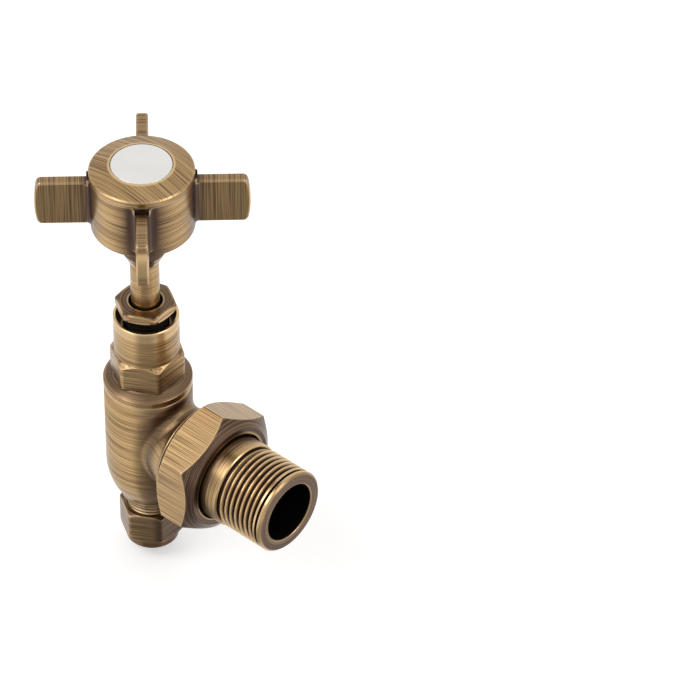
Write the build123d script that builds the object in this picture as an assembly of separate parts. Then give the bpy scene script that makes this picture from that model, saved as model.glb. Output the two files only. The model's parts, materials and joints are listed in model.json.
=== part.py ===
from build123d import *
import os
from math import radians, sqrt, tan

# Angled radiator valve with a crosshead handle, in millimetres.
# The pipe comes up from below along Z, and the tail leaves to the radiator along +X. The origin is the
# middle of the pipe's mouth, in the lower face of the compression nut. The valve is drawn closed, with its
# washer on the seat.

# Fits, all measured on the radius or along the axis
running_clearance = 0.05  # a piece that turns, slides or is screwed in another
press_gap = 0.1  # two pieces that squeeze each other when tightened
seam_bevel = 0.15  # small bevel on edges that meet in a visible seam
edge_ease = 0.3  # softened outer edge
overcut = 1.0  # how far a cut runs past the face it opens

# Pipe connection
pipe_d = 8.0
pipe_wall = 0.6
inlet_wall = 0.7  # inlet stub round the olive's cone
inlet_thread_show = 3.4  # thread left bare between nut and neck
compression_nut_wall = 0.95  # nut's thread to its flats
compression_nut_length = 11.0
compression_nut_floor = 2.6
compression_nut_chamfer = 30.0  # degrees from the face
compression_lip_step = 0.6  # lip inside the flats
compression_lip_height = 2.3
compression_corner_r = 0.9
olive_length = 5.4
olive_land = 1.6  # straight middle between its two cones
olive_thickness = 1.15
olive_end_thickness = 0.3

# Valve seat and plate
seat_land = 1.4
seat_height = 1.0
seat_below_bore = 0.3  # seat's face below the branch's bore
washer_overlap = 0.8  # washer past the seat's land
seat_washer_thickness = 2.4
washer_nut_play = 0.5  # nut's corners inside the seat's hole
washer_nut_wall = 1.0
washer_nut_height = 2.2
stud_length = 5.0
jumper_overlap = 0.7  # plate past the washer
jumper_thickness = 2.0
jumper_play = 1.3  # plate inside the chamber
jumper_stem_r = 1.9
jumper_stem_length = 10.0
spindle_lift = 5.0
room_above_plate = 5.0  # raised plate to the bonnet's foot

# Body
neck_step = 1.25  # neck past the inlet thread
neck_band = 0.8
pipe_stop_above_neck = 2.6
branch_above_neck = 19.9
body_wall = 1.3  # round the bonnet's seal
body_round_r = 19.5  # arc from the neck up to the cylinder

# Tail and union
tail_thread_d = 20.955
tail_thread_length = 14.0
tail_relief_length = 1.1  # groove where the thread runs out, next to the shoulder
tail_relief_depth = 0.95
tail_wall = 3.1
tail_chamfer = 0.5
tail_shoulder_step = 0.22  # shoulder past the thread
tail_shoulder_show = 4.9  # shoulder left bare between nut and thread
tail_collar_step = 1.2
tail_collar_length = 2.8
tail_key_depth = 8.4  # hexagon inside, for the fitting key
seal_ring_r = 0.75  # section radius of the tail's sealing ring
seal_inset = 2.6  # middle of the ring inside the collar's edge
seal_groove_play = 0.15
bore_inset = 2.8  # branch's bore inside the middle of the ring
union_thread_step = 1.1  # union thread past the collar
union_thread_length = 5.6
union_nut_wall = 1.45
union_nut_standoff = 1.2  # nut's back to the branch's shoulder
union_nut_lip = 3.3
union_nut_mouth_gap = 0.6  # play between the nut's hole and the tail
union_nut_back_step = 0.9  # circle left flat on the back face, inside the flats
union_nut_front_step = 1.6
union_nut_chamfer = 35.0  # degrees from the face
union_corner_r = 0.5
union_nut_turn = -2.0  # degrees that a corner stands away from straight down
branch_axis_r = 6.0  # the branch's cone, carried back to the valve's axis
branch_shoulder_step = 1.4  # cone's end below the union thread
branch_neck = 3.4  # body's side to the branch's shoulder
branch_fillet = 2.4

# Bonnet
bonnet_thread_step = 0.4  # bonnet's thread past the chamber's wall
bonnet_thread_length = 7.4
bonnet_seal_width = 1.3
bonnet_seal_height = 1.2
flange_step = 0.05  # flange past the body
flange_rim = 1.9
flange_rise = 1.3
flange_cone_step = 0.34  # top of the flange's cone past the barrel
bonnet_hex_step = 0.14  # flats past the barrel
bonnet_hex_height = 7.3
bonnet_corner_r = 1.3
bonnet_chamfer = 45.0
barrel_height = 10.6
barrel_lip = 0.7
barrel_recess = 3.0
barrel_recess_width = 1.6
stuffing_floor = 1.5
stem_nut_length = 8.0  # internal thread that lifts the spindle
stem_relief = 0.35

# Gland
packing_width = 2.0
packing_length = 3.0
follower_length = 1.2
gland_engagement = 3.8  # gland nut's thread in the stuffing box
gland_flat_step = 1.0  # flats past the gland's thread
gland_hex_height = 2.2
gland_above_barrel = 2.0
gland_stem_gap = 0.65
gland_corner_r = 0.35
gland_chamfer = 30.0

# Spindle
spindle_d = 6.9
spindle_thread_step = 1.55  # lifting thread past the shank
spindle_thread_below = 2.0  # thread that hangs below the bonnet when closed
spindle_foot_step = 0.8
spindle_show = 12.6  # bare stem between gland nut and handle when closed
tang_short = 0.3  # tang stops short of the hub's pocket, so that the screw pulls tight

# Handle
handle_angle = 43.0  # degrees from the branch to the first paddle
sleeve_wall = 1.8
sleeve_tip_wall = 0.2
sleeve_taper = 3.4
sleeve_length = 10.6
sleeve_socket = 8.1  # round socket below the square hole
hub_r = 12.2
hub_height = 15.1
hub_edge_r = 0.8
hub_wall = 2.8
hub_pocket_depth = 7.5
paddle_tip_r = 25.0
paddle_thickness = 2.8
paddle_below_rim = 1.2
paddle_above_foot = 1.7
paddle_root_fillet = 2.0
root_below_rim = 0.3  # roots rise past the paddles, nearly to the hub's rim
root_slot_play = 0.25  # gap left between two raised roots, past each side of the paddle
paddle_end_round = 24.0
paddle_corner_r = 1.3
paddle_edge_r = 0.5  # softened outline of each paddle
cap_step = 0.1  # cap past the hub
cap_rim = 1.6
cap_rise = 1.45
cap_floor = 1.05
cap_spigot_wall = 1.5
cap_spigot_length = 4.0
cap_border = 5.1  # cap's edge to the ceramic disc
disc_groove = 0.15
screw_r = 1.5
screw_length = 8.0
screw_head_step = 1.5
screw_head_height = 2.4
screw_slot = 0.8
screw_slot_depth = 1.1
washer_cover = 1.0  # washer past the corners of the square hole
washer_thickness = 0.8

# Radii that follow from the sizes above
pipe_r = pipe_d / 2 + running_clearance
olive_r = pipe_r + olive_thickness
olive_end_r = pipe_r + olive_end_thickness
inlet_thread_r = olive_r + press_gap + inlet_wall
compression_nut_af = 2 * (inlet_thread_r + running_clearance + compression_nut_wall)
compression_lip_r = compression_nut_af / 2 - compression_lip_step
neck_r = inlet_thread_r + neck_step
waterway_r = pipe_d / 2 - pipe_wall
seat_r = waterway_r + seat_land
seat_washer_r = seat_r + washer_overlap
washer_nut_af = sqrt(3) * (waterway_r - washer_nut_play)
stud_r = washer_nut_af / 2 - washer_nut_wall
jumper_r = seat_washer_r + jumper_overlap
chamber_r = jumper_r + jumper_play
bonnet_thread_r = chamber_r + bonnet_thread_step
bonnet_seal_r = bonnet_thread_r + bonnet_seal_width
body_r = bonnet_seal_r + body_wall
flange_r = body_r + flange_step
spindle_r = spindle_d / 2
spindle_thread_r = spindle_r + spindle_thread_step
spindle_foot_r = spindle_thread_r - spindle_foot_step
tang_side = sqrt(2) * (spindle_r - seam_bevel)
stem_hole_r = spindle_r + running_clearance
gland_thread_r = stem_hole_r + packing_width
stuffing_r = gland_thread_r + running_clearance
gland_nut_af = 2 * (gland_thread_r + gland_flat_step)
barrel_recess_r = stuffing_r + barrel_recess_width
barrel_r = barrel_recess_r + barrel_lip
bonnet_hex_af = 2 * (barrel_r + bonnet_hex_step)
tail_thread_r = tail_thread_d / 2
tail_bore_r = tail_thread_r - tail_wall
tail_key_af = sqrt(3) * (tail_bore_r - running_clearance)
tail_shoulder_r = tail_thread_r + tail_shoulder_step
tail_collar_r = tail_shoulder_r + tail_collar_step
seal_centre_r = tail_collar_r - seal_inset
branch_bore_r = seal_centre_r - bore_inset
union_thread_r = tail_collar_r + union_thread_step
union_nut_af = 2 * (union_thread_r + running_clearance + union_nut_wall)
branch_shoulder_r = union_thread_r - branch_shoulder_step
sleeve_r = stem_hole_r + sleeve_wall
hub_pocket_r = hub_r - hub_wall
cap_r = hub_r + cap_step
disc_r = cap_r - cap_border
disc_thickness = cap_rim + cap_rise - cap_floor

# Heights that follow from the sizes above, from the pipe upwards
olive_z = compression_nut_floor + press_gap
olive_cone = (olive_length - olive_land) / 2
neck_z = compression_nut_length + inlet_thread_show
pipe_stop_z = neck_z + pipe_stop_above_neck
branch_z = neck_z + branch_above_neck
seat_z = branch_z - branch_bore_r - seat_below_bore
plate_z = seat_z + press_gap + seat_washer_thickness
plate_top_z = plate_z + jumper_thickness
bonnet_foot_z = plate_top_z + spindle_lift + room_above_plate
body_top_z = bonnet_foot_z + bonnet_thread_length
hex_z = body_top_z + flange_rim + flange_rise
barrel_z = hex_z + bonnet_hex_height
barrel_top_z = barrel_z + barrel_height
recess_z = barrel_top_z - barrel_recess
packing_z = recess_z - gland_engagement - follower_length - packing_length
gland_hex_z = barrel_top_z + gland_above_barrel
gland_top_z = gland_hex_z + gland_hex_height
sleeve_z = gland_top_z + spindle_show
hub_z = sleeve_z + sleeve_length
hub_top_z = hub_z + hub_height
pocket_z = hub_top_z - hub_pocket_depth
tang_z = sleeve_z + sleeve_socket
tang_top_z = pocket_z - tang_short
cap_edge_z = hub_top_z + cap_rim
disc_top_z = cap_edge_z + cap_rise
disc_z = disc_top_z - disc_thickness

# Distances along the branch that follow from the sizes above
branch_shoulder_x = body_r + branch_neck
branch_end_x = branch_shoulder_x + edge_ease + union_thread_length
collar_x = branch_end_x + press_gap
collar_front_x = collar_x + tail_collar_length
union_nut_x = branch_shoulder_x + union_nut_standoff
union_nut_lip_x = collar_front_x + press_gap
union_nut_front_x = union_nut_lip_x + union_nut_lip
tail_thread_x = union_nut_front_x + tail_shoulder_show
tail_end_x = tail_thread_x + tail_thread_length


def turned(*outline):
    """A solid of revolution about Z, from (radius, height) points."""
    return revolve(Plane.XZ * make_face(Polyline(*outline, close=True)), Axis.Z)


def ring(inner_r, outer_r, low, high):
    """A plain ring about Z."""
    return turned((inner_r, low), (outer_r, low), (outer_r, high), (inner_r, high))


def rod(radius, low, high):
    """A plain cylinder about Z."""
    return turned((0, low), (radius, low), (radius, high), (0, high))


def hexagon(across_flats, low, high, corner_r=0, turn=30):
    """A hexagonal prism about Z, with its corners rounded."""
    outline = RegularPolygon(across_flats / 2, 6, major_radius=False, rotation=turn)
    if corner_r:
        outline = fillet(outline.vertices(), corner_r)
    return Pos(0, 0, low) * extrude(outline, high - low)


def chamfer_cone(across_flats, low, high, low_r, high_r, angle):
    """What is left of a hexagon's ends when a lathe chamfers them down to two circles."""
    reach = across_flats / sqrt(3) + overcut
    slope = tan(radians(angle))
    return turned(
        (0, low),
        (low_r, low),
        (reach, low + (reach - low_r) * slope),
        (reach, high - (reach - high_r) * slope),
        (high_r, high),
        (0, high),
    )


def along_branch(piece):
    """Lays a piece that was drawn about Z along the branch, so that its heights become distances along +X."""
    return Pos(0, 0, branch_z) * Rot(0, 90, 0) * piece


def make_compression_nut():
    """Hexagon nut with a round lip, hollowed for the olive and the inlet thread."""
    thread_r = inlet_thread_r + running_clearance
    low = compression_lip_height
    high = compression_nut_length
    flat_r = compression_nut_af / 2
    blank = hexagon(compression_nut_af, low, high, compression_corner_r)
    blank &= chamfer_cone(
        compression_nut_af, low, high, compression_lip_r, flat_r, compression_nut_chamfer
    )
    lip = turned(
        (0, 0),
        (compression_lip_r - edge_ease, 0),
        (compression_lip_r, edge_ease),
        (compression_lip_r, low),
        (0, low),
    )
    hollow = turned(
        (0, -overcut),
        (pipe_r, -overcut),
        (pipe_r, compression_nut_floor),
        (olive_end_r + press_gap, compression_nut_floor),
        (olive_r + press_gap, olive_z + olive_cone),
        (thread_r, olive_z + olive_cone),
        (thread_r, high + overcut),
        (0, high + overcut),
    )
    return blank + lip - hollow


def make_olive():
    """Brass ring with a cone at each end."""
    return turned(
        (pipe_r, olive_z),
        (olive_end_r, olive_z),
        (olive_r, olive_z + olive_cone),
        (olive_r, olive_z + olive_cone + olive_land),
        (olive_end_r, olive_z + olive_length),
        (pipe_r, olive_z + olive_length),
    )


def make_valve_body():
    """One casting: pipe stub, rounded cylinder and side branch, bored for pipe, seat and bonnet."""
    stub_z = olive_z + olive_cone + olive_land
    socket_z = olive_z + olive_length + press_gap
    neck_top_z = neck_z + neck_band
    round_z = neck_top_z + sqrt(body_round_r**2 - (body_round_r - body_r + neck_r) ** 2)
    outline = Polyline(
        (body_r, round_z),
        (body_r, body_top_z - seam_bevel),
        (body_r - seam_bevel, body_top_z),
        (0, body_top_z),
        (0, stub_z),
        (inlet_thread_r, stub_z),
        (inlet_thread_r, neck_z),
        (neck_r - seam_bevel, neck_z),
        (neck_r, neck_z + seam_bevel),
        (neck_r, neck_top_z),
    )
    rounding = TangentArc((body_r, round_z), (neck_r, neck_top_z), tangent=(0, -overcut))
    # turned round so that the surface's own seam is away from the branch
    shell = Rot(0, 0, 180) * revolve(Plane.XZ * make_face(outline + rounding), Axis.Z)

    cone = turned((0, 0), (branch_axis_r, 0), (branch_shoulder_r, branch_shoulder_x), (0, branch_shoulder_x))
    branch = along_branch(cone)
    casting = shell + branch
    casting = fillet(new_edges(shell, branch, combined=casting), branch_fillet)
    casting += along_branch(
        turned(
            (0, branch_shoulder_x),
            (branch_shoulder_r, branch_shoulder_x),
            (union_thread_r, branch_shoulder_x + edge_ease),
            (union_thread_r, branch_end_x - edge_ease),
            (union_thread_r - edge_ease, branch_end_x),
            (0, branch_end_x),
        )
    )

    pipe_way = turned(
        (0, stub_z - overcut),
        (olive_r + press_gap, stub_z - overcut),
        (olive_r + press_gap, stub_z),
        (olive_end_r + press_gap, socket_z),
        (pipe_r, socket_z),
        (pipe_r, pipe_stop_z),
        (waterway_r, pipe_stop_z),
        (waterway_r, seat_z),
        (seat_r, seat_z),
        (seat_r, seat_z - seat_height),
        (chamber_r, seat_z - seat_height),
        (chamber_r, bonnet_foot_z - press_gap),
        (bonnet_thread_r + running_clearance, bonnet_foot_z - press_gap),
        (bonnet_thread_r + running_clearance, body_top_z - bonnet_seal_height),
        (bonnet_seal_r, body_top_z - bonnet_seal_height),
        (bonnet_seal_r, body_top_z + overcut),
        (0, body_top_z + overcut),
    )
    outlet = along_branch(rod(branch_bore_r, 0, branch_end_x + overcut))
    return casting - pipe_way - outlet


def make_union_nut():
    """Large hexagon nut, chamfered at both ends, with a lip that pulls the tail's collar home."""
    flat_r = union_nut_af / 2
    back_r = flat_r - union_nut_back_step
    front_r = flat_r - union_nut_front_step
    blank = hexagon(union_nut_af, union_nut_x, union_nut_front_x, union_corner_r, union_nut_turn)
    blank &= chamfer_cone(union_nut_af, union_nut_x, union_nut_front_x, back_r, front_r, union_nut_chamfer)
    mouth_r = tail_shoulder_r + union_nut_mouth_gap
    thread_r = union_thread_r + running_clearance
    hollow = turned(
        (0, union_nut_x - overcut),
        (thread_r, union_nut_x - overcut),
        (thread_r, union_nut_lip_x),
        (mouth_r, union_nut_lip_x),
        (mouth_r, union_nut_front_x + overcut),
        (0, union_nut_front_x + overcut),
    )
    return along_branch(blank - hollow)


def make_union_tail():
    """Collar, plain shoulder and the thread's outer cylinder, bored through, with a hexagon for the key."""
    relief_r = tail_thread_r - tail_relief_depth
    turning = turned(
        (0, collar_x),
        (tail_collar_r, collar_x),
        (tail_collar_r, collar_front_x),
        (tail_shoulder_r, collar_front_x),
        (tail_shoulder_r, tail_thread_x - edge_ease),
        (tail_shoulder_r - edge_ease, tail_thread_x),
        (relief_r, tail_thread_x),
        (relief_r, tail_thread_x + tail_relief_length),
        (tail_thread_r, tail_thread_x + tail_relief_length),
        (tail_thread_r, tail_end_x - tail_chamfer),
        (tail_thread_r - tail_chamfer, tail_end_x),
        (0, tail_end_x),
    )
    groove_half = seal_ring_r + seal_groove_play
    groove_x = collar_x + 2 * seal_ring_r - press_gap / 2
    groove = ring(seal_centre_r - groove_half, seal_centre_r + groove_half, collar_x - overcut, groove_x)
    key_x = collar_x + tail_key_depth
    key_socket = hexagon(tail_key_af, collar_x - overcut, key_x + overcut)
    bore = rod(tail_bore_r, key_x, tail_end_x + overcut)
    return along_branch(turning - groove - key_socket - bore)


def make_tail_seal():
    """Round rubber ring in the face of the tail's collar, standing a little proud of it."""
    centre_x = collar_x - press_gap / 2 + seal_ring_r
    return along_branch(Pos(0, 0, centre_x) * Torus(seal_centre_r, seal_ring_r))


def make_bonnet():
    """Headwork turned from one bar: thread, flange, hexagon and a cup that takes the gland nut."""
    rim_z = body_top_z + flange_rim
    foot = turned(
        (0, bonnet_foot_z),
        (bonnet_thread_r - edge_ease, bonnet_foot_z),
        (bonnet_thread_r, bonnet_foot_z + edge_ease),
        (bonnet_thread_r, body_top_z),
        (flange_r - seam_bevel, body_top_z),
        (flange_r, body_top_z + seam_bevel),
        (flange_r, rim_z - seam_bevel),
        (flange_r - seam_bevel, rim_z),
        (barrel_r + flange_cone_step, hex_z),
        (0, hex_z),
    )
    hex_block = hexagon(bonnet_hex_af, rim_z, barrel_z, bonnet_corner_r)
    hex_block &= chamfer_cone(bonnet_hex_af, rim_z, barrel_z, bonnet_hex_af, barrel_r, bonnet_chamfer)
    barrel = turned(
        (0, hex_z),
        (barrel_r, hex_z),
        (barrel_r, barrel_top_z - seam_bevel),
        (barrel_r - seam_bevel, barrel_top_z),
        (0, barrel_top_z),
    )
    stem_thread_r = spindle_thread_r + running_clearance
    stem_thread_z = bonnet_foot_z + stem_nut_length
    hollow = turned(
        (0, bonnet_foot_z - overcut),
        (stem_thread_r, bonnet_foot_z - overcut),
        (stem_thread_r, stem_thread_z),
        (stem_thread_r + stem_relief, stem_thread_z),
        (stem_thread_r + stem_relief, packing_z - stuffing_floor),
        (stem_hole_r, packing_z - stuffing_floor),
        (stem_hole_r, packing_z),
        (stuffing_r, packing_z),
        (stuffing_r, recess_z),
        (barrel_recess_r, recess_z),
        (barrel_recess_r, barrel_top_z + overcut),
        (0, barrel_top_z + overcut),
    )
    return foot + hex_block + barrel - hollow


def make_bonnet_seal():
    """Flat ring that the bonnet's flange squeezes into the body."""
    return ring(
        bonnet_thread_r + running_clearance,
        bonnet_seal_r - running_clearance,
        body_top_z - bonnet_seal_height,
        body_top_z,
    )


def make_gland_packing():
    """Soft packing at the bottom of the stuffing box."""
    return ring(stem_hole_r, stuffing_r - running_clearance, packing_z, packing_z + packing_length)


def make_gland_follower():
    """Brass ring that spreads the gland nut's push over the packing."""
    low = packing_z + packing_length + press_gap / 2
    return ring(stem_hole_r, stuffing_r - running_clearance, low, low + follower_length)


def make_gland_nut():
    """Thin hexagon on a threaded neck, bored wide of the stem."""
    flat_r = gland_nut_af / 2
    neck_foot_z = packing_z + packing_length + follower_length + press_gap
    blank = hexagon(gland_nut_af, gland_hex_z, gland_top_z, gland_corner_r)
    blank &= chamfer_cone(gland_nut_af, gland_hex_z, gland_top_z, flat_r, flat_r, gland_chamfer)
    neck = rod(gland_thread_r, neck_foot_z, gland_hex_z)
    return blank + neck - rod(spindle_r + gland_stem_gap, neck_foot_z - overcut, gland_top_z + overcut)


def make_spindle():
    """Rising stem: foot with a socket for the jumper, lifting thread, plain shank and square tang."""
    foot_z = plate_top_z + press_gap
    thread_z = bonnet_foot_z - spindle_thread_below
    thread_top_z = packing_z - stuffing_floor - spindle_lift - 2 * edge_ease
    stem = turned(
        (0, foot_z),
        (spindle_foot_r, foot_z),
        (spindle_foot_r, thread_z),
        (spindle_thread_r, thread_z + spindle_thread_r - spindle_foot_r),
        (spindle_thread_r, thread_top_z - edge_ease),
        (spindle_thread_r - edge_ease, thread_top_z),
        (spindle_r, thread_top_z),
        (spindle_r, tang_z),
        (0, tang_z),
    )
    tang = extrude(Rectangle(tang_side, tang_side), tang_top_z - tang_z)
    socket_top_z = plate_top_z + jumper_stem_length + press_gap
    socket = rod(jumper_stem_r + running_clearance, foot_z - overcut, socket_top_z)
    tapping = rod(screw_r + running_clearance, tang_top_z - screw_length, tang_top_z + overcut)
    return stem + Pos(0, 0, tang_z) * Rot(0, 0, handle_angle) * tang - socket - tapping


def make_jumper():
    """Valve plate with a stem above, loose in the spindle, and a stud below for the washer."""
    return turned(
        (0, plate_z - stud_length),
        (stud_r, plate_z - stud_length),
        (stud_r, plate_z),
        (jumper_r, plate_z),
        (jumper_r, plate_top_z),
        (jumper_stem_r, plate_top_z),
        (jumper_stem_r, plate_top_z + jumper_stem_length),
        (0, plate_top_z + jumper_stem_length),
    )


def make_seat_washer():
    """Rubber washer that closes the seat."""
    return ring(stud_r + running_clearance, seat_washer_r, plate_z - seat_washer_thickness, plate_z)


def make_washer_nut():
    """Small nut on the jumper's stud, inside the seat's hole."""
    high = plate_z - seat_washer_thickness
    low = high - washer_nut_height
    return hexagon(washer_nut_af, low, high) - rod(stud_r + running_clearance, low - overcut, high + overcut)


def make_paddle_bar(low, high):
    """Two opposite paddles as one flat bar, with bowed ends and a softened outline."""
    middle = (low + high) / 2
    end_x = paddle_tip_r - paddle_end_round + sqrt(paddle_end_round**2 - (high - middle) ** 2)
    side = Polyline((-end_x, low), (end_x, low))
    side += ThreePointArc((end_x, low), (paddle_tip_r, middle), (end_x, high))
    side += Polyline((end_x, high), (-end_x, high))
    side += ThreePointArc((-end_x, high), (-paddle_tip_r, middle), (-end_x, low))
    outline = make_face(side)
    outline = fillet(outline.vertices(), paddle_corner_r)
    bar = extrude(Plane.XZ * outline, paddle_thickness / 2, both=True)
    sides = bar.faces().sort_by(Axis.Y)
    return fillet(sides[0].edges() + sides[-1].edges(), paddle_edge_r)


def make_paddle_roots(low, high):
    """Filleted corners between hub and paddles, which rise past the paddles to just below the hub's rim."""
    blades = Rectangle(2 * paddle_tip_r, paddle_thickness) + Rectangle(paddle_thickness, 2 * paddle_tip_r)
    cross = Circle(hub_r) + blades
    corners = [v for v in cross.vertices() if abs(Vector(v).length - hub_r) < edge_ease]
    cross = fillet(corners, paddle_root_fillet)
    fillet_x = sqrt((hub_r + paddle_root_fillet) ** 2 - (paddle_thickness / 2 + paddle_root_fillet) ** 2)
    reach = 2 * (fillet_x + edge_ease)
    cross &= Rectangle(reach, reach)
    slot_width = paddle_thickness + 2 * root_slot_play
    slots = Rectangle(reach + overcut, slot_width) + Rectangle(slot_width, reach + overcut)
    foot_z = low + paddle_edge_r
    step_z = high - paddle_edge_r
    roots = Pos(0, 0, foot_z) * extrude(cross, step_z - foot_z)
    return roots + Pos(0, 0, step_z) * extrude(cross - slots, hub_top_z - root_below_rim - step_z)


def make_crosshead_handle():
    """Hub, four paddles and a tapered sleeve as one casting, with a pocket on top for the screw."""
    turning = Polyline(
        (0, sleeve_z),
        (spindle_r + sleeve_tip_wall, sleeve_z),
        (sleeve_r, sleeve_z + sleeve_taper),
        (sleeve_r, hub_z),
        (hub_r - hub_edge_r, hub_z),
    )
    turning += RadiusArc((hub_r - hub_edge_r, hub_z), (hub_r, hub_z + hub_edge_r), -hub_edge_r)
    turning += Polyline(
        (hub_r, hub_z + hub_edge_r),
        (hub_r, hub_top_z - seam_bevel),
        (hub_r - seam_bevel, hub_top_z),
        (0, hub_top_z),
        (0, sleeve_z),
    )
    hub = revolve(Plane.XZ * make_face(turning), Axis.Z)

    paddle_z = hub_z + paddle_above_foot
    paddle_top_z = hub_top_z - paddle_below_rim
    bar = make_paddle_bar(paddle_z, paddle_top_z)
    paddles = bar + Rot(0, 0, 90) * bar + make_paddle_roots(paddle_z, paddle_top_z)
    crosshead = hub + Rot(0, 0, handle_angle) * paddles

    pocket = rod(hub_pocket_r, pocket_z, hub_top_z + overcut)
    socket = rod(stem_hole_r, sleeve_z - overcut, tang_z)
    square_side = tang_side + 2 * running_clearance
    square = extrude(Rectangle(square_side, square_side), pocket_z - tang_z + overcut)
    return crosshead - pocket - socket - Pos(0, 0, tang_z) * Rot(0, 0, handle_angle) * square


def make_handle_washer():
    """Washer between the screw's head and the hub."""
    washer_r = tang_side / sqrt(2) + washer_cover
    return ring(screw_r + running_clearance, washer_r, pocket_z, pocket_z + washer_thickness)


def make_handle_screw():
    """Slotted screw that draws the handle down on the tang."""
    head_z = pocket_z + washer_thickness
    head_top_z = head_z + screw_head_height
    screw_head_r = screw_r + screw_head_step
    screw = turned(
        (0, tang_top_z - screw_length + press_gap),
        (screw_r, tang_top_z - screw_length + press_gap),
        (screw_r, head_z),
        (screw_head_r, head_z),
        (screw_head_r, head_top_z - edge_ease),
        (screw_head_r - edge_ease, head_top_z),
        (0, head_top_z),
    )
    slot = Pos(0, 0, head_top_z) * Box(2 * screw_head_r + overcut, screw_slot, 2 * screw_slot_depth)
    return screw - slot


def make_handle_cap():
    """Conical ring with a spigot into the hub and a pocket for the ceramic disc."""
    pocket_r = disc_r + disc_groove
    spigot_r = hub_pocket_r - running_clearance
    return turned(
        (0, disc_z),
        (pocket_r, disc_z),
        (pocket_r, disc_top_z),
        (cap_r - edge_ease, cap_edge_z),
        (cap_r, cap_edge_z - edge_ease),
        (cap_r, hub_top_z + seam_bevel),
        (cap_r - seam_bevel, hub_top_z),
        (spigot_r, hub_top_z),
        (spigot_r, hub_top_z - cap_spigot_length),
        (spigot_r - cap_spigot_wall, hub_top_z - cap_spigot_length),
        (spigot_r - cap_spigot_wall, hub_top_z),
        (0, hub_top_z),
    )


def make_ceramic_disc():
    """White disc, flush with the top of the cap."""
    return turned(
        (0, disc_z),
        (disc_r, disc_z),
        (disc_r, disc_top_z - seam_bevel),
        (disc_r - seam_bevel, disc_top_z),
        (0, disc_top_z),
    )


PIECES = {
    "valve_body": make_valve_body,
    "bonnet": make_bonnet,
    "bonnet_seal": make_bonnet_seal,
    "gland_nut": make_gland_nut,
    "gland_follower": make_gland_follower,
    "gland_packing": make_gland_packing,
    "spindle": make_spindle,
    "jumper": make_jumper,
    "seat_washer": make_seat_washer,
    "washer_nut": make_washer_nut,
    "crosshead_handle": make_crosshead_handle,
    "handle_cap": make_handle_cap,
    "ceramic_disc": make_ceramic_disc,
    "handle_screw": make_handle_screw,
    "handle_washer": make_handle_washer,
    "union_nut": make_union_nut,
    "union_tail": make_union_tail,
    "tail_seal": make_tail_seal,
    "compression_nut": make_compression_nut,
    "olive": make_olive,
}

os.makedirs("parts", exist_ok=True)
for name, make in PIECES.items():
    export_step(make(), f"parts/{name}.step")
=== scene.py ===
# %% [markdown]
# # An angled radiator valve in antique brass
# The valve closes the water to a radiator. A pipe comes up from below, a threaded tail leaves to the
# side, and a crosshead handle turns a rising spindle. The solids already have their real sizes, so this
# lesson dresses them: it cuts the threads that the eye looks for, brushes and darkens the brass, and
# lights it as a small studio would. Everything is in metres, and MM turns millimetres into metres.

# %% Load the frame
import json
from math import cos, floor, pi, radians, sin, sqrt

import bpy
from mathutils import Matrix, Vector


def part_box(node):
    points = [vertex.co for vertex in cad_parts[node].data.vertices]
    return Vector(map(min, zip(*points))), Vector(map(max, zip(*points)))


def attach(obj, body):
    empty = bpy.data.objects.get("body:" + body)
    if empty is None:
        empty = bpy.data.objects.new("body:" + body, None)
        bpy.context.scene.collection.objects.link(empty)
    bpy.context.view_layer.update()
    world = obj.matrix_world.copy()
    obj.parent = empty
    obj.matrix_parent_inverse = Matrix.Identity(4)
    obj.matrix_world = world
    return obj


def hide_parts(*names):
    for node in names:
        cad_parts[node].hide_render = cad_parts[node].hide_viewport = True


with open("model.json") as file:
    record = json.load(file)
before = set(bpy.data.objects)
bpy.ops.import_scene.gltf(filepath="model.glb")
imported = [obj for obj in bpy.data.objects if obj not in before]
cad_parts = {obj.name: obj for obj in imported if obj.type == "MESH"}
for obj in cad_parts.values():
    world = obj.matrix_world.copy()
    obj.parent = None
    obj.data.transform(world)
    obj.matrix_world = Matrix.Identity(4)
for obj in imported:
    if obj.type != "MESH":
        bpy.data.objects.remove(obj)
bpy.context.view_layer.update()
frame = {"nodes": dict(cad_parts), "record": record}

MM = 0.001
nodes = frame["nodes"]

# %% [markdown]
# ## The camera
# A product photograph is taken from far away with a long lens, so that upright edges stay upright. The
# valve is seen from the front right and from above. Instead of aiming by eye, the camera is placed so
# that one known point, the valve's axis at the height of the branch, falls on a chosen spot of the
# picture.

# %% Camera
image_px = 675
focal_px = 5454.0
view_azimuth = radians(41.51)
view_elevation = radians(41.53)
aim_px = (149.5, 426.7)
aim_distance = 1.3055

mounts = {mount["name"]: mount for mount in frame["record"]["mounts"]}
branch_z = mounts["radiator_tail"]["pos_m"][2]
aim = Vector((0, 0, branch_z))
back = Vector((
    sin(view_azimuth) * cos(view_elevation),
    -cos(view_azimuth) * cos(view_elevation),
    sin(view_elevation),
))
right = Vector((cos(view_azimuth), sin(view_azimuth), 0))
up = back.cross(right)
metres_per_px = aim_distance / focal_px
eye = aim + back * aim_distance
eye += right * (image_px / 2 - aim_px[0]) * metres_per_px
eye += up * (aim_px[1] - image_px / 2) * metres_per_px

camera_data = bpy.data.cameras.new("camera")
camera_data.sensor_width = 36
camera_data.lens = camera_data.sensor_width * focal_px / image_px
camera = bpy.data.objects.new("camera", camera_data)
camera.matrix_world = Matrix.Translation(eye) @ Matrix((right, up, back)).transposed().to_4x4()
bpy.context.scene.collection.objects.link(camera)
bpy.context.scene.camera = camera
print("camera at", [round(v, 3) for v in eye], "with a lens of", round(camera_data.lens), "mm")

# %% [markdown]
# ## Turning a mesh on a lathe
# Most of the valve is turned. A lathe's work is a closed outline swept round an axis, so one helper makes
# it: each point of the outline is a pair of a distance along the axis and a radius, or a function that
# gives that pair for an angle. A function lets a thread wind or a socket be hexagonal, which a plain spin
# can't do.

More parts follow.
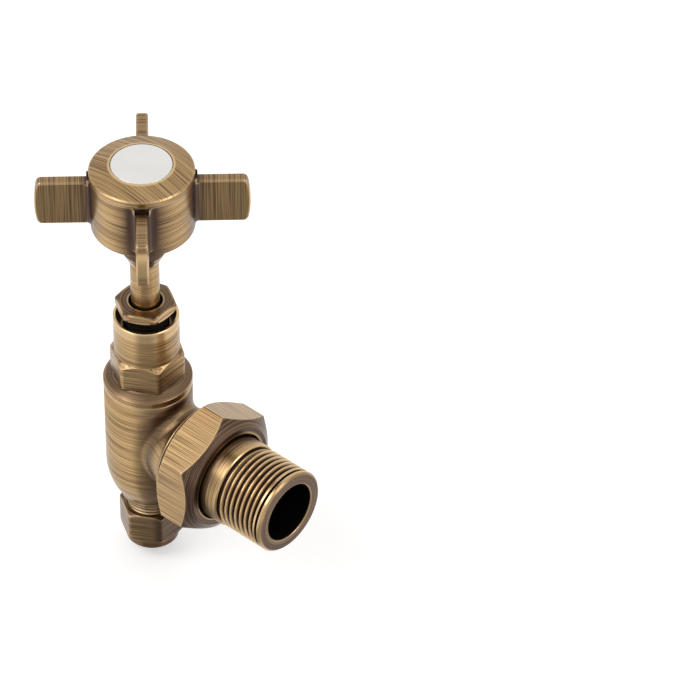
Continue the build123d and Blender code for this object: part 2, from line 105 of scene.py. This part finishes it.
# %% Lathe helper
TURN = 2 * pi


def lathe(name, outline, steps, place):
    """Sweeps a closed outline round an axis. place(along, radius, angle) gives the point in space."""
    points = []
    for step in range(steps):
        angle = TURN * step / steps
        for spot in outline:
            along, radius = spot(angle) if callable(spot) else spot
            points.append(place(along, radius, angle))
    count = len(outline)
    faces = []
    for step in range(steps):
        here = step * count
        there = (step + 1) % steps * count
        for low in range(count):
            high = (low + 1) % count
            faces.append((here + low, here + high, there + high, there + low))
    mesh = bpy.data.meshes.new(name)
    mesh.from_pydata(points, [], faces)
    mesh.validate()
    piece = bpy.data.objects.new(name, mesh)
    bpy.context.scene.collection.objects.link(piece)
    return piece


def along_branch(along, radius, angle):
    return (along, radius * cos(angle), branch_z + radius * sin(angle))


def along_pipe(along, radius, angle):
    return (radius * cos(angle), radius * sin(angle), along)


def soften(piece, angle):
    """Smooth shading, with edges sharper than the angle kept crisp."""
    piece.data.shade_smooth()
    piece.data.set_sharp_from_angle(angle=radians(angle))


print("lathe ready")

# %% [markdown]
# ## The thread's shape
# A pipe thread is a V that winds along the cylinder. How far a point is from the nearest crest depends
# only on its place along the axis less its share of a turn, so the thread needs no sweep along a helix:
# the lathe asks this function for a radius. Crest and root have narrow flats, as a cut thread does.

# %% Thread function
def thread_depth(along, angle, pitch, crest_flat, root_flat):
    """0 on a crest and 1 in a root, for a right-handed thread."""
    turns = along / pitch - angle / TURN
    to_crest = abs(turns - floor(turns + 0.5)) * 2
    return min(1, max(0, (to_crest - crest_flat) / (1 - crest_flat - root_flat)))


# %% [markdown]
# ## The union tail
# The tail screws into the radiator, so its thread is what a fitter sees first. It has a plain shoulder, a
# relief where the die stops, the thread itself, and a broad first crest behind the end's chamfer. It
# replaces the plain solid, at the same size, and keeps that solid's bore, key socket and groove for the
# sealing ring.

# %% Union tail
low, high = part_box("union_tail")
collar_x = low.x
tail_end_x = high.x
collar_r = high.y
collar_front_x = collar_x + 2.8 * MM
thread_r = mounts["radiator_tail"]["dims"]["r_mm"] * MM
shoulder_r = thread_r + 0.22 * MM
bore_r = thread_r - 3.1 * MM
key_af = sqrt(3) * (bore_r - 0.05 * MM)
key_end_x = collar_x + 8.4 * MM
thread_x = tail_end_x - 14.0 * MM
seal_r = 9.3 * MM
groove_half = 0.9 * MM
groove_x = collar_x + 1.45 * MM
tail_pitch = 1.51 * MM
tail_depth = 0.95 * MM
tail_crest = 0.14
tail_root = 0.16
relief_length = 1.1 * MM
end_chamfer = 0.5 * MM
end_groove = (tail_end_x - 1.9 * MM, tail_end_x - 1.2 * MM)
broad_crest_x = tail_end_x - 2.9 * MM
runout = 0.5 * MM
ease = 0.3 * MM
tail_steps = 144


def tail_radius(along):
    """Radius of the threaded part at a place along the axis, for every angle."""
    def spot(angle):
        depth = thread_depth(along, angle, tail_pitch, tail_crest, tail_root)
        if along < thread_x + relief_length:
            depth = 1
        if along > broad_crest_x:
            depth *= max(0, 1 - (along - broad_crest_x) / runout)
        if end_groove[0] < along < end_groove[1]:
            depth = 1
        radius = thread_r - tail_depth * depth
        return along, min(radius, thread_r + tail_end_x - end_chamfer - along)
    return spot


def key_wall(along):
    """A corner of the hexagon socket for the fitting key."""
    def spot(angle):
        from_flat = (angle + pi / 6) % (pi / 3) - pi / 6
        return along, key_af / 2 / cos(from_flat)
    return spot


thread_stations = 190
outline = [
    key_wall(collar_x),
    (collar_x, seal_r - groove_half),
    (groove_x, seal_r - groove_half),
    (groove_x, seal_r + groove_half),
    (collar_x, seal_r + groove_half),
    (collar_x, collar_r),
    (collar_front_x, collar_r),
    (collar_front_x, shoulder_r),
    (thread_x - ease, shoulder_r),
    (thread_x, shoulder_r - ease),
]
outline += [
    tail_radius(thread_x + (tail_end_x - thread_x) * station / thread_stations)
    for station in range(thread_stations + 1)
]
outline += [
    (tail_end_x, bore_r + ease),
    (tail_end_x - ease, bore_r),
    (key_end_x, bore_r),
    key_wall(key_end_x),
]
tail = lathe("threaded_tail", outline, tail_steps, along_branch)
soften(tail, angle=40)
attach(tail, "tail")
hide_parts("union_tail")
print("threaded_tail:", len(tail.data.polygons), "faces")

# %% [markdown]
# ## Threads on the body and the gland nut
# The nuts run on threads that show between nut and body, and more of them shows when a nut is slackened.
# Here the solid is right apart from the grooves, so a copy of it is cut: the cutter is the thread's own
# negative, a ring whose inside is the thread, and a boolean takes it away. The copy then stands for the
# plain solid.

# %% Cut threads
stations_per_pitch = 10
cutter_steps = 96
cutter_wall = 0.4 * MM
cut_crest = 0.12
cut_root = 0.14
weld_distance = 0.001 * MM


def cutter(place, radius, depth, pitch, low, high):
    """A ring that leaves a thread behind when it is cut from a plain cylinder."""
    stations = round((high - low) / pitch * stations_per_pitch)

    def groove(along):
        def spot(angle):
            return along, radius - depth * thread_depth(along, angle, pitch, cut_crest, cut_root)
        return spot

    inside = [groove(low + (high - low) * station / stations) for station in range(stations + 1)]
    outer_r = radius + cutter_wall
    return lathe("cutter", inside + [(high, outer_r), (low, outer_r)], cutter_steps, place)


def cut_threads(name, node, body, cutters):
    """A copy of a solid with threads cut in it, which replaces that solid."""
    piece = bpy.data.objects.new(name, nodes[node].data.copy())
    bpy.context.scene.collection.objects.link(piece)
    welder = piece.modifiers.new("weld", "WELD")
    welder.merge_threshold = weld_distance
    for tool in cutters:
        cut = piece.modifiers.new("cut", "BOOLEAN")
        cut.operation = "DIFFERENCE"
        cut.solver = "EXACT"
        cut.object = tool
    bpy.context.view_layer.update()
    shape = piece.evaluated_get(bpy.context.evaluated_depsgraph_get())
    mesh = bpy.data.meshes.new_from_object(shape)
    piece.modifiers.clear()
    piece.data = mesh
    for tool in cutters:
        bpy.data.objects.remove(tool)
    mesh.materials.clear()
    soften(piece, angle=30)
    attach(piece, body)
    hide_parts(node)
    print(name, len(mesh.polygons), "faces")
    return piece


body_low, body_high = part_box("valve_body")
gland_low, gland_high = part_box("gland_nut")
fine_thread = {"depth": 0.5 * MM, "pitch": 1.0 * MM}
union_thread = {"depth": 0.7 * MM, "pitch": 1.5 * MM}
inlet_r = 6.0 * MM
inlet_span = {"low": body_low.z + 0.3 * MM, "high": 14.38 * MM}
union_r = collar_r + 1.1 * MM
union_span = {"low": body_high.x - 5.3 * MM, "high": body_high.x - 0.3 * MM}
gland_r = 5.5 * MM
gland_span = {"low": gland_low.z + 0.3 * MM, "high": gland_high.z - 2.3 * MM}
inlet_cutter = cutter(along_pipe, inlet_r, **fine_thread, **inlet_span)
union_cutter = cutter(along_branch, union_r, **union_thread, **union_span)
gland_cutter = cutter(along_pipe, gland_r, **fine_thread, **gland_span)
valve_body = cut_threads("threaded_body", "valve_body", "valve", [inlet_cutter, union_cutter])
gland_nut = cut_threads("threaded_gland_nut", "gland_nut", "gland_nut", [gland_cutter])

# %% [markdown]
# ## Shader maths as Python
# A finish is a graph of nodes, but it reads best as arithmetic. The class below wraps a node's output and
# gives it Python's operators, so that `1 - mask` adds a Math node. Every other node comes from one
# method, which makes the node, sets its settings first and then fills or links its sockets.

# %% Wire class
class Wire:
    """An output of a shader node that works in Python expressions."""

    tree = None

    def __init__(self, socket):
        self.socket = socket

    @classmethod
    def node(cls, kind, settings=None, inputs=None, output=0):
        """Adds a node: settings first, then each socket's value or link."""
        made = cls.tree.nodes.new("ShaderNode" + kind)
        for name, value in (settings or {}).items():
            setattr(made, name, value)
        for name, value in (inputs or {}).items():
            socket = made.inputs[name]
            if isinstance(value, Wire):
                cls.tree.links.new(value.socket, socket)
            else:
                socket.default_value = value
        return cls(made.outputs[output]) if made.outputs else None

    @classmethod
    def maths(cls, operation, *values):
        return cls.node("Math", {"operation": operation}, dict(enumerate(values)))

    def __add__(self, other):
        return Wire.maths("ADD", self, other)

    def __sub__(self, other):
        return Wire.maths("SUBTRACT", self, other)

    def __rsub__(self, other):
        return Wire.maths("SUBTRACT", other, self)

    def __mul__(self, other):
        return Wire.maths("MULTIPLY", self, other)

    def __truediv__(self, other):
        return Wire.maths("DIVIDE", self, other)

    def __rtruediv__(self, other):
        return Wire.maths("DIVIDE", other, self)

    def __pow__(self, other):
        return Wire.maths("POWER", self, other)

    def __rpow__(self, other):
        return Wire.maths("POWER", other, self)

    __radd__ = __add__
    __rmul__ = __mul__

    def step(self, low, high):
        """0 below low, 1 above high, and a soft rise between."""
        limits = {"Value": self, "From Min": low, "From Max": high}
        return Wire.node("MapRange", {"interpolation_type": "SMOOTHSTEP"}, limits)


def blend(first, second, factor):
    """Mixes two colours by a factor."""
    return Wire.node("Mix", {"data_type": "RGBA"}, {0: factor, 6: first, 7: second}, 2)


def start_material(name):
    """Opens a new material for drawing, and gives the place on the surface in millimetres."""
    material = bpy.data.materials.new(name)
    material.use_nodes = True
    material.node_tree.nodes.clear()
    Wire.tree = material.node_tree
    place = Wire.node("TexCoord", output="Object")
    axes = [Wire.node("SeparateXYZ", inputs={"Vector": place}, output=axis) / MM for axis in "XYZ"]
    return material, axes


def facing(axis):
    """How squarely the surface faces along an axis of the piece, from 0 to 1."""
    normal = Wire.node("TexCoord", output="Normal")
    return Wire.maths("ABSOLUTE", Wire.node("SeparateXYZ", inputs={"Vector": normal}, output=axis))


def finish_material(**sockets):
    """One shader, its sockets filled by name, led to the material's output."""
    inputs = {name.replace("_", " ").title(): value for name, value in sockets.items()}
    shader = Wire.node("BsdfPrincipled", inputs=inputs)
    Wire.node("OutputMaterial", inputs={"Surface": shader})


print("shader maths ready")

# %% [markdown]
# ## Which way the brass was brushed
# Antique brass is plated dark and then rubbed back, so its marks run the way the abrasive ran. Turned
# faces have rings, the flats of the big nut have lines along its axis, the paddles have upright lines,
# and the cap was drawn straight across a belt. Each grain gives two distances, across the marks and along
# them. On a face that is square to the axis, rings are counted by radius, so the face's normal chooses
# between the two.

# %% Grains
branch_mm = branch_z / MM
union_nut_half = 14.5
belt_coarseness = 0.62
END_FACE = (0.6, 0.75)
SLOPE = (0.4, 0.6)
CHAMFER = (0.3, 0.4)


def mix(first, second, share):
    """Goes from one value to another."""
    return first + (second - first) * share


def from_pipe_axis(x, y):
    return (x * x + y * y) ** 0.5


def from_branch_axis(y, z):
    rise = z - branch_mm
    return (y * y + rise * rise) ** 0.5


def rings_round_pipe(x, y, z):
    return mix(z, from_pipe_axis(x, y), facing("Z").step(*END_FACE)), x + y


def rings_round_branch(x, y, z):
    return mix(x, from_branch_axis(y, z), facing("X").step(*END_FACE)), y + z - branch_mm


def lines_along_branch(x, y, z):
    """Lines along the flats, and rings on the chamfers."""
    rise = z - branch_mm
    round_way = Wire.maths("ARCTAN2", y, rise) * union_nut_half
    chamfer = facing("X").step(*CHAMFER)
    return mix(round_way, from_branch_axis(y, z), chamfer), mix(x, y + rise, chamfer)


def belt_lines(x, y, z):
    """Straight lines over the top, and rings on the rim."""
    top = facing("Z").step(*SLOPE)
    return mix(z, y, top), mix(x + y, x, top)


def upright_lines(x, y, z):
    """Bolder lines, as a coarser belt leaves."""
    return from_pipe_axis(x, y) * belt_coarseness, z


print("five grains ready")

# %% [markdown]
# ## Brush marks
# A brush mark is noise that is stretched: many changes in a millimetre across the mark, and few along it.
# Three sorts lie over each other, broad bands where the belt pressed more, single lines, and a few deeper
# scratches.

# %% Brush marks
BANDS = {"fine": 0.7, "long_way": 0.012}
LINES = {"fine": 5.2, "long_way": 0.04}
SCRATCHES = {"fine": 2.2, "long_way": 0.025}


def marks(across, along, fine, long_way):
    """Noise drawn out along the brush, with its changes in a millimetre across and along."""
    place = Wire.node("CombineXYZ", inputs={"X": across * fine, "Y": along * long_way})
    return Wire.node("TexNoise", inputs={"Vector": place, "Scale": 1.0, "Detail": 1.0, "Roughness": 0.6})


def brushed(grain, x, y, z):
    """Bands, lines and scratches that follow a grain."""
    spot = grain(x, y, z)
    return [marks(*spot, **sort) for sort in (BANDS, LINES, SCRATCHES)]


print("three sorts of brush marks")

# %% [markdown]
# ## Antique brass
# Three things set the colour: the brushing, which leaves dark lines in warm metal; the recesses, where
# the patina was never rubbed off and stays a purple brown; and the edges, which are rubbed bright and
# carry a painted highlight.
# Recesses and edges are found by ambient occlusion, outwards for the first and inwards for the second, on
# the piece alone. A pair of numbers with RANGE in its name says where an effect starts and where it is
# full.

# %% Brass finish
BRASS = (0.52, 0.345, 0.165, 1)
PATINA = (0.2, 0.124, 0.06, 1)
# rubbed bright metal, also painted on edges as a highlight
RUBBED_AND_HIGHLIT = (0.74, 0.53, 0.29, 1)
DEEP = (0.062, 0.036, 0.03, 1)
# black, painted as shade in cavities such as a bore
SHADE_BLACK = (0.012, 0.009, 0.008, 1)
RUBBED_RANGE = (0.36, 0.6)
SCRATCH_RANGE = (0.62, 0.78)
RECESS_RANGE = (0.05, 0.42)
EDGE_RANGE = (0.09, 0.34)
band_share = 0.14
edge_reach = 0.8
edge_round = 0.15 * MM
mark_depth = 0.03 * MM


def occlusion(distance, inside):
    """How closed in the surface is, from 0 to 1, looking outwards or into the metal."""
    settings = {"samples": 12, "only_local": True, "inside": inside}
    return 1 - Wire.node("AmbientOcclusion", settings, {"Distance": distance * MM}, "AO")


def darkest(*shades):
    """The strongest of several shades."""
    strongest = shades[0]
    for shade in shades[1:]:
        strongest = Wire.maths("MAXIMUM", strongest, shade)
    return strongest


def brushed_normal(lines, scratches):
    """Edges rounded by a hair, with the brush marks pressed in."""
    rounded = Wire.node("Bevel", {"samples": 4}, {"Radius": edge_round})
    height = lines * 0.7 + scratches * 0.3
    pressed = {"Strength": 0.15, "Distance": mark_depth, "Height": height, "Normal": rounded}
    return Wire.node("Bump", inputs=pressed)


def antique_brass(name, grain, second=None, mask=None, dark=None, black_shade_mask=None, rubbed_and_highlit_mask=None, reach=4.0):
    """Brushed brass with patina. The mask brings in a second grain, dark adds patina and, on some pieces,
    painted shade, and a black mask paints black shade in cavities.
    """
    material, axes = start_material(name)
    bands, lines, scratches = brushed(grain, *axes)
    if second:
        share = mask(*axes)
        others = brushed(second, *axes)
        bands, lines, scratches = [mix(a, b, share) for a, b in zip((bands, lines, scratches), others)]
    rubbed = mix(lines, bands, band_share).step(*RUBBED_RANGE)
    recess = occlusion(reach, False).step(*RECESS_RANGE)
    edge = occlusion(edge_reach, True).step(*EDGE_RANGE)
    colour = blend(PATINA, BRASS, rubbed)
    colour = blend(colour, DEEP, scratches.step(*SCRATCH_RANGE) * 0.25)
    colour = blend(colour, DEEP, recess * 0.85)
    if dark:
        shade = dark(*axes)
        # patina, and on some pieces painted shade, darkened along the brush lines
        colour = blend(colour, DEEP, shade * (1.5 - 1.1 * lines))
        edge = edge * (1 - 0.6 * shade)
    if rubbed_and_highlit_mask:
        edge = darkest(edge, rubbed_and_highlit_mask(*axes))
    # edges lightened, partly as wear and partly as a painted highlight
    colour = blend(colour, RUBBED_AND_HIGHLIT, edge * 0.8)
    roughness = 0.33 - 0.05 * rubbed + 0.12 * recess - 0.05 * edge
    # black painted shade in cavities, with a duller gloss
    if black_shade_mask:
        black_shade_share = black_shade_mask(*axes)
        colour = blend(colour, SHADE_BLACK, black_shade_share)
        roughness = roughness + 0.25 * black_shade_share
    normal = brushed_normal(lines, scratches)
    finish_material(base_color=colour, metallic=1.0, roughness=roughness, normal=normal)
    return material


print("antique brass ready")

# %% [markdown]
# ## Patina on the handle
# The wheel can't reach everywhere, so each piece keeps its dark in its own places. On the handle that is
# beside the paddles' roots, on the sleeve and in the seam under the cap. Masks are in millimetres from
# the piece's own planes and axes, so they stay on the metal when a joint moves.

# %% Handle masks
handle_angle = radians(43)
hub_r = 12.2
hub_height = 15.1
paddle_tip_r = 25.0
hub_rim_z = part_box("crosshead_handle")[1].z / MM
hub_foot_z = hub_rim_z - hub_height


def beside_paddle(x, y, z):
    """Distance from the middle plane of the nearest paddle."""
    first = Wire.maths("ABSOLUTE", x * sin(handle_angle) - y * cos(handle_angle))
    second = Wire.maths("ABSOLUTE", x * cos(handle_angle) + y * sin(handle_angle))
    return Wire.maths("MINIMUM", first, second)


def off_hub(x, y, z):
    """1 on the paddles and beside their roots, 0 on the rest of the hub."""
    past = from_pipe_axis(x, y).step(hub_r + 0.05, hub_r + 0.7)
    root = 1 - beside_paddle(x, y, z).step(2.6, 4.6)
    return darkest(past, root)


def handle_patina(x, y, z):
    """Dark beside the roots, on the sleeve and in the seam, and brown over the paddles but their tips."""
    radius = from_pipe_axis(x, y)
    near_hub = (1 - radius.step(hub_r + 0.4, hub_r + 4.3)) * z.step(hub_foot_z - 1.9, hub_foot_z + 1.1)
    root = (1 - beside_paddle(x, y, z).step(2.2, 8.5)) * near_hub
    short_of_tip = 1 - radius.step(paddle_tip_r - 0.8, paddle_tip_r - 0.1)
    blade = radius.step(hub_r + 0.4, hub_r + 1.2) * short_of_tip
    sleeve = 1 - z.step(hub_foot_z - 0.9, hub_foot_z + 0.7)
    seam = z.step(hub_rim_z - 0.35, hub_rim_z - 0.15)
    return darkest(root * 0.95, blade * 0.4, sleeve * 0.6, seam)


def paddle_ends(x, y, z):
    """Bright on the ends of the paddles, which are rubbed most and carry a painted highlight."""
    return from_pipe_axis(x, y).step(paddle_tip_r - 0.7, paddle_tip_r - 0.1) * 0.3


def cap_seam(x, y, z):
    """Dark in the seam under the cap, and a little brown over its top."""
    return darkest(1 - z.step(hub_rim_z + 0.15, hub_rim_z + 0.4), 0.12)


print("hub from", round(hub_foot_z, 1), "to", round(hub_rim_z, 1), "mm")

# %% [markdown]
# ## Patina and painted shade on the body and the nuts
# The body carries painted shade on its side by the branch and on the branch's shoulder behind the big
# nut. The hexagons keep their dark on faces that look up and on chamfers, the tail keeps it down in its
# thread and has painted shade next to the nut, and the neck of the gland nut and the tail's bore are
# painted black as shade.

# %% Body and nut masks
bonnet_top_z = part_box("bonnet")[1].z / MM
union_face_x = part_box("union_nut")[1].x / MM
gland_hex_z = gland_high.z / MM - 2.2
pipe_lip_z = 2.3
neck_z = 14.4
thread_mm = thread_r / MM
thread_start = thread_x / MM
tail_end = tail_end_x / MM
CORNER_RANGE = (3.5, 8.3)
BRANCH_RANGE = (8.5, 12.0)
SHOULDER_RANGE = (12.2, 14.2)


def body_shade_and_patina(x, y, z):
    """Painted shade on the body's side by the branch and on the branch's shoulder behind the big nut, and
    dark down the thread of the pipe's stub.
    """
    # painted shade on the side by the branch and on the shoulder behind the big nut
    corner = x.step(*CORNER_RANGE) * (1 - x.step(*BRANCH_RANGE))
    stub = 1 - z.step(neck_z - 0.1, neck_z + 0.1)
    return darkest(corner * 0.75, stub * 0.8, x.step(*SHOULDER_RANGE) * 0.7)


def bonnet_shade_and_patina(x, y, z):
    """Painted black shade inside the cup, dark on the flange's top and a little brown over the hexagon."""
    below_top = bonnet_top_z - z
    # painted black shade down inside the cup
    cup = (1 - below_top.step(3.5, 4.5)) * (1 - from_pipe_axis(x, y).step(7.2, 7.3))
    flange = facing("Z").step(0.5, 0.7) * below_top.step(13.5, 14.5)
    hexagon = below_top.step(6.5, 9.5)
    return darkest(cup, flange * 0.65, hexagon * 0.2)


def top_patina(x, y, z):
    """Dark on faces that look up or down."""
    return facing("Z").step(*SLOPE) * 0.82


def end_patina(x, y, z):
    """Dark on the chamfers and ends of the big nut, and a little brown on its flats."""
    return facing("X").step(*CHAMFER) * 0.86 + 0.1


def tail_shade_and_patina(x, y, z):
    """Painted shade on the shoulder next to the nut, dark down in the thread, and brown on the end."""
    # painted shade on the shoulder where it leaves the nut
    shoulder = 1 - x.step(union_face_x + 0.3, union_face_x + 4.8)
    groove = 1 - from_branch_axis(y, z).step(thread_mm - 0.32, thread_mm)
    threaded = x.step(thread_start, thread_start + 0.05) * (1 - x.step(tail_end - 1.1, tail_end - 1.05))
    end = x.step(tail_end - 0.1, tail_end - 0.02)
    return darkest(shoulder * 0.75, end * 0.85, groove * threaded * 0.6)


def pipe_nut_shade_and_patina(x, y, z):
    """Brown all over, darker on the top and round the lip, and painted shade on the side under the branch.
    """
    lip = 1 - z.step(pipe_lip_z - 0.1, pipe_lip_z + 0.2)
    # painted shade on the side under the branch, over an even brown
    side = x.step(4.5, 6.5) * 0.42 + 0.5
    return darkest(top_patina(x, y, z), lip * 0.7, side)


def gland_neck_shade(x, y, z):
    """Painted black shade on the threaded neck, down in the bonnet's cup."""
    return 1 - z.step(gland_hex_z - 0.2, gland_hex_z + 0.1)


def in_bore(x, y, z):
    """1 inside the tail's bore, which is painted black as shade."""
    return 1 - from_branch_axis(y, z).step(bore_r / MM + 0.05, bore_r / MM + 0.2)


print("tail thread from", round(thread_start, 1), "to", round(tail_end, 1), "mm")

# %% [markdown]
# ## Brass on the pieces
# Each piece has its own material, because its grain and its masks are its own. A solid that stays gets
# the material in place of its plain one, and so do the pieces with threads.

# %% Brass on the pieces
brass_handle = antique_brass(
    "brushed_handle", rings_round_pipe, upright_lines, off_hub, dark=handle_patina, rubbed_and_highlit_mask=paddle_ends
)
FINISHES = {
    "bonnet": antique_brass("brushed_bonnet", rings_round_pipe, dark=bonnet_shade_and_patina),
    "spindle": antique_brass("brushed_spindle", rings_round_pipe),
    "crosshead_handle": brass_handle,
    "handle_cap": antique_brass("brushed_cap", belt_lines, dark=cap_seam),
    "union_nut": antique_brass("brushed_union_nut", lines_along_branch, dark=end_patina),
    "compression_nut": antique_brass("brushed_pipe_nut", rings_round_pipe, dark=pipe_nut_shade_and_patina),
}
for node, material in FINISHES.items():
    nodes[node].data.materials.clear()
    nodes[node].data.materials.append(material)
CUT_FINISHES = {
    valve_body: antique_brass("brushed_body", rings_round_pipe, dark=body_shade_and_patina, reach=6.0),
    # the gland nut's neck gets painted black shade
    gland_nut: antique_brass("brushed_gland_nut", rings_round_pipe, dark=top_patina, black_shade_mask=gland_neck_shade),
    # the tail's bore gets painted black shade
    tail: antique_brass("brushed_tail", rings_round_branch, dark=tail_shade_and_patina, black_shade_mask=in_bore, reach=1.2),
}
for piece, material in CUT_FINISHES.items():
    piece.data.materials.append(material)
print("brass on", len(FINISHES) + len(CUT_FINISHES), "pieces")

# %% [markdown]
# ## The other finishes
# The disc is glazed earthenware: an off-white body under a clear coat, with faint clouds. Hidden pieces
# are bare brass, rubber and fibre. They show when a joint is open, so they get a plain finish with some
# grain.

# %% Ceramic, rubber, fibre and bare brass
def plain_finish(name, dark, light, scale, rough, metal=0.0, coat=0.0):
    """Two close colours clouded together, with the same noise in the gloss."""
    material, (x, y, z) = start_material(name)
    place = Wire.node("CombineXYZ", inputs={"X": x * scale, "Y": y * scale, "Z": z * scale})
    cloud = Wire.node("TexNoise", inputs={"Vector": place, "Scale": 1.0, "Detail": 3.0, "Roughness": 0.6})
    colour = blend(dark, light, cloud.step(0.35, 0.65))
    roughness = rough + 0.1 * (cloud - 0.5)
    finish_material(base_color=colour, metallic=metal, coat_weight=coat, roughness=roughness)
    return material


GLAZE = {"dark": (0.76, 0.75, 0.72, 1), "light": (0.79, 0.78, 0.75, 1)}
BARE_BRASS = {"dark": (0.5, 0.34, 0.12, 1), "light": (0.62, 0.44, 0.18, 1)}
RUBBER = {"dark": (0.012, 0.012, 0.012, 1), "light": (0.022, 0.022, 0.022, 1)}
FIBRE = {"dark": (0.3, 0.2, 0.13, 1), "light": (0.46, 0.33, 0.22, 1)}
SLOTS = {
    "ceramic": plain_finish("glazed_white", **GLAZE, scale=0.12, rough=0.2, coat=1.0),
    "plain_brass": plain_finish("bare_brass", **BARE_BRASS, scale=1.5, rough=0.32, metal=1.0),
    "rubber": plain_finish("black_rubber", **RUBBER, scale=2.0, rough=0.6),
    "fibre": plain_finish("pressed_fibre", **FIBRE, scale=3.0, rough=0.8),
}
for subpart in frame["record"]["subparts"]:
    if subpart["material_slot"] in SLOTS:
        data = nodes[subpart["node"]].data
        data.materials.clear()
        data.materials.append(SLOTS[subpart["material_slot"]])
print("plain finishes:", sorted(SLOTS))

# %% [markdown]
# ## The floor
# The floor is white paper. It lies a little below the pipe's nut, which leaves that nut room to be
# screwed down. It glows a little to the camera and in reflections, so that it reads as white and still
# takes the valve's shadow.

# %% Floor
PAPER = (0.86, 0.86, 0.86, 1)
GLOW = (0.4, 0.4, 0.4, 1)
NO_GLOW = (0, 0, 0, 1)


def seen_directly():
    """1 for what the camera sees, straight or in a reflection, and 0 for light on its way to a surface."""
    kinds = ("Camera", "Glossy", "Transmission")
    rays = sum(Wire.node("LightPath", output=f"Is {kind} Ray") for kind in kinds)
    return Wire.maths("MINIMUM", rays, 1.0)


floor_z = -3.5 * MM
floor_half = 3.0
floor_mesh = bpy.data.meshes.new("floor")
corners = [(x * floor_half, y * floor_half, floor_z) for x, y in ((-1, -1), (1, -1), (1, 1), (-1, 1))]
floor_mesh.from_pydata(corners, [], [(0, 1, 2, 3)])
ground = bpy.data.objects.new("floor", floor_mesh)
bpy.context.scene.collection.objects.link(ground)
material, _ = start_material("pale_floor")
glow = blend(NO_GLOW, GLOW, seen_directly())
finish_material(base_color=PAPER, roughness=0.9, emission_color=glow, emission_strength=1.0)
floor_mesh.materials.append(material)
print("floor at", floor_z, "m")

# %% [markdown]
# ## The room and its lamps
# Brass is a mirror with a colour, so its look is made by what stands round it. The room is white and
# even: it is plain white where it is seen and gives a little less light than that. Two soft lamps, one
# from the left and a weaker one from the right, give the edges their shine.

# %% Room and lamps
world = bpy.data.worlds.new("room")
bpy.context.scene.world = world
world.use_nodes = True
world.node_tree.nodes.clear()
Wire.tree = world.node_tree
ambient = 0.6
strength = ambient + (1 - ambient) * seen_directly()
room = Wire.node("Background", inputs={"Color": (1, 1, 1, 1), "Strength": strength})
Wire.node("OutputWorld", inputs={"Surface": room})

lamp_aim = Vector((0, 0, 0.06))


def softbox(name, place, width, height, power):
    """A soft rectangular lamp that faces the valve."""
    data = bpy.data.lights.new(name, "AREA")
    data.shape = "RECTANGLE"
    data.size = width
    data.size_y = height
    data.energy = power
    lamp = bpy.data.objects.new(name, data)
    lamp.location = place
    lamp.rotation_euler = (lamp_aim - Vector(place)).to_track_quat("-Z", "Y").to_euler()
    bpy.context.scene.collection.objects.link(lamp)


softbox("key", place=(-0.35, -0.75, 1.0), width=0.7, height=0.7, power=5.0)
softbox("fill", place=(0.9, 0.2, 0.8), width=0.5, height=0.7, power=3.0)
bpy.context.scene.view_settings.view_transform = "Standard"
print("room and two soft lamps")

# %% [markdown]
# ## A black card
# In an all-white room brass looks like putty. Photographers lay a black card by shiny metal, and the dark
# bands that it draws make it read as metal. The camera looks down, so upright faces mirror the floor
# close by: the card lies there, in front of the valve, and draws a dark band down the middle of each
# upright piece. Its edges are soft, and only reflections see it.

# %% Black card
card_steps = 24
card_height = floor_z + 0.2 * MM
card_fade = 0.42
card_opacity = 0.58
soft_from = 0.8
CARD_BLACK = (0.02, 0.018, 0.018, 1)
camera_side = Vector((sin(view_azimuth), -cos(view_azimuth), 0))


def black_card(name, start, end, reach):
    """A sector on the floor. Its angles count from the camera's side towards the right."""
    def rim_point(share):
        angle = start + (end - start) * share
        return camera_side * cos(angle) * reach + right * sin(angle) * reach + Vector((0, 0, card_height))

    rim = [rim_point(step / card_steps) for step in range(card_steps + 1)]
    mesh = bpy.data.meshes.new(name)
    slices = [(0, step + 1, step + 2) for step in range(card_steps)]
    mesh.from_pydata([(0, 0, card_height)] + rim, [], slices)
    card = bpy.data.objects.new(name, mesh)
    bpy.context.scene.collection.objects.link(card)
    card.visible_camera = False
    card.visible_diffuse = False
    card.visible_shadow = False
    material, (x, y, z) = start_material(name)
    forward = x * camera_side.x + y * camera_side.y
    sideways = x * right.x + y * right.y
    bearing = Wire.maths("ARCTAN2", sideways, forward)
    soft_side = bearing.step(start, start + card_fade) * (1 - bearing.step(end - card_fade, end))
    soft_end = 1 - from_pipe_axis(x, y).step(reach / MM * soft_from, reach / MM)
    black = Wire.node("BsdfDiffuse", inputs={"Color": CARD_BLACK})
    clear = Wire.node("BsdfTransparent")
    mixed = Wire.node("MixShader", inputs={0: soft_side * soft_end * card_opacity, 1: clear, 2: black})
    Wire.node("OutputMaterial", inputs={"Surface": mixed})
    mesh.materials.append(material)
    print(name, "reaches", reach, "m")


black_card("front_card", start=radians(-45), end=radians(42), reach=0.24)
